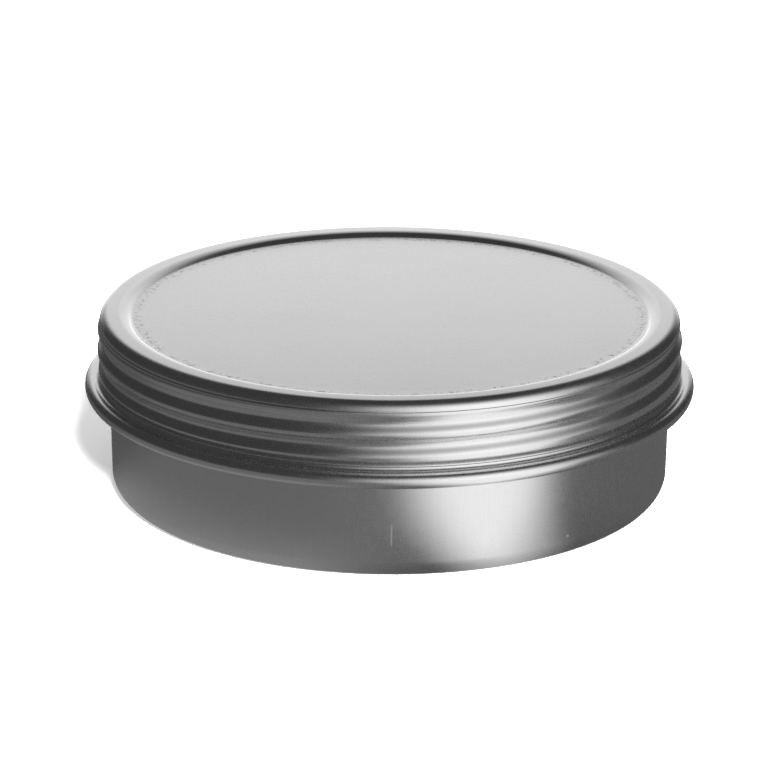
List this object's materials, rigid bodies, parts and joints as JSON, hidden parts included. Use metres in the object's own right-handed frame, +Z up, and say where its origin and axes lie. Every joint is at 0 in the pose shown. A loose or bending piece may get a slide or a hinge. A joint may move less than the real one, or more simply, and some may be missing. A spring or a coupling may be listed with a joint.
{
  "type": "screw-top candle tin",
  "caption": "Shallow round tinplate container with a straight drawn base and a one-piece screw lid with a rolled thread and curled lower edge.",
  "frame": {"origin": "on the tin's axis, in the plane of the ring that the base rests on", "axes": "+Z up along the axis of the tin and of the lid's thread, -Y towards the front"},
  "size_m": [0.086, 0.086, 0.0256],
  "materials": {
    "base_tinplate": "satin tinplate",
    "lid_tinplate": "satin tinplate",
    "sealing_foam": "matt white foam"
  },
  "bodies": {
    "base": {"base_can": "base_tinplate"},
    "seal": {"lid_gasket": "sealing_foam"},
    "lid": {"lid": "lid_tinplate"}
  },
  "joints": [
    {"name": "lid_rise", "type": "slide", "parent": "base", "child": "seal", "axis": [0, 0, 1], "range_m": [0, 0.01418]},
    {"name": "lid_turn", "type": "hinge", "parent": "seal", "child": "lid", "pos_m": [0, 0, 0.0149], "axis": [0, 0, 1], "range_deg": [0, 1620]}
  ],
  "couplings": [
    {"joint": "lid_rise", "follows": "lid_turn", "m_per_rad": 0.00050134}
  ]
}
